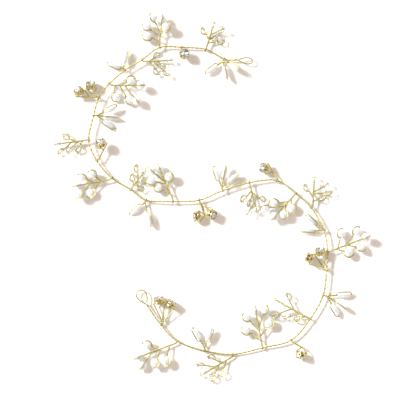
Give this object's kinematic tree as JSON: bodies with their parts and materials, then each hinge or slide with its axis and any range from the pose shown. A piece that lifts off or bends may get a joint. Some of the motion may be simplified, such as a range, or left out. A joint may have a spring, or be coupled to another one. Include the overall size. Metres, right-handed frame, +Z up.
{
  "type": "hair vine",
  "caption": "Long hair vine of twisted gold wire laid in an S, with branching sprigs of round pearls, rice pearls, clear beads and set stones, and a small wire loop at each end",
  "frame": {"origin": "on the table below the middle of the vine's bounding box, halfway along its length and width", "axes": "+X to the right of the S, +Y up the S along its longest extent, +Z up from the table it lies on, which is its shortest extent"},
  "size_m": [0.1587, 0.1844, 0.0091],
  "materials": {
    "gold_wire": "polished pale gold wire, twisted in pairs",
    "pearl": "soft pearl coat over a white bead",
    "clear_bead": "clear faceted glass",
    "setting_metal": "bright plated pale gold, pierced",
    "cut_stone": "clear cut stone with a bright back"
  },
  "bodies": {
    "root": {"stem_wire": "gold_wire", "end_loop_1": "gold_wire", "end_loop_2": "gold_wire", "sprig_wire_01": "gold_wire", "sprig_wire_02": "gold_wire", "sprig_wire_03": "gold_wire", "sprig_wire_04": "gold_wire", "sprig_wire_05": "gold_wire", "sprig_wire_06": "gold_wire", "sprig_wire_07": "gold_wire", "sprig_wire_08": "gold_wire", "sprig_wire_09": "gold_wire", "sprig_wire_10": "gold_wire", "sprig_wire_11": "gold_wire", "sprig_wire_12": "gold_wire", "sprig_wire_13": "gold_wire", "sprig_wire_14": "gold_wire", "sprig_wire_15": "gold_wire", "sprig_wire_16": "gold_wire", "sprig_wire_17": "gold_wire", "sprig_wire_18": "gold_wire", "sprig_wire_19": "gold_wire", "sprig_wire_20": "gold_wire", "sprig_wire_21": "gold_wire", "sprig_wire_22": "gold_wire", "sprig_wire_23": "gold_wire", "sprig_wire_24": "gold_wire", "sprig_wire_25": "gold_wire", "sprig_wire_26": "gold_wire", "sprig_wire_27": "gold_wire", "sprig_wire_28": "gold_wire", "sprig_wire_29": "gold_wire", "sprig_wire_30": "gold_wire", "sprig_wire_31": "gold_wire", "sprig_wire_32": "gold_wire", "pearls_1": "pearl", "pearls_2": "pearl", "pearls_3": "pearl", "pearls_4": "pearl", "rice_pearls_1": "pearl", "rice_pearls_2": "pearl", "rice_pearls_3": "pearl", "rice_pearls_4": "pearl", "clear_beads_1": "clear_bead", "clear_beads_2": "clear_bead", "clear_beads_3": "clear_bead", "clear_beads_4": "clear_bead", "cups_1": "setting_metal", "cups_2": "setting_metal", "cups_3": "setting_metal", "cups_4": "setting_metal", "stones_1": "cut_stone", "stones_2": "cut_stone", "stones_3": "cut_stone", "stones_4": "cut_stone"}
  },
  "joints": []
}
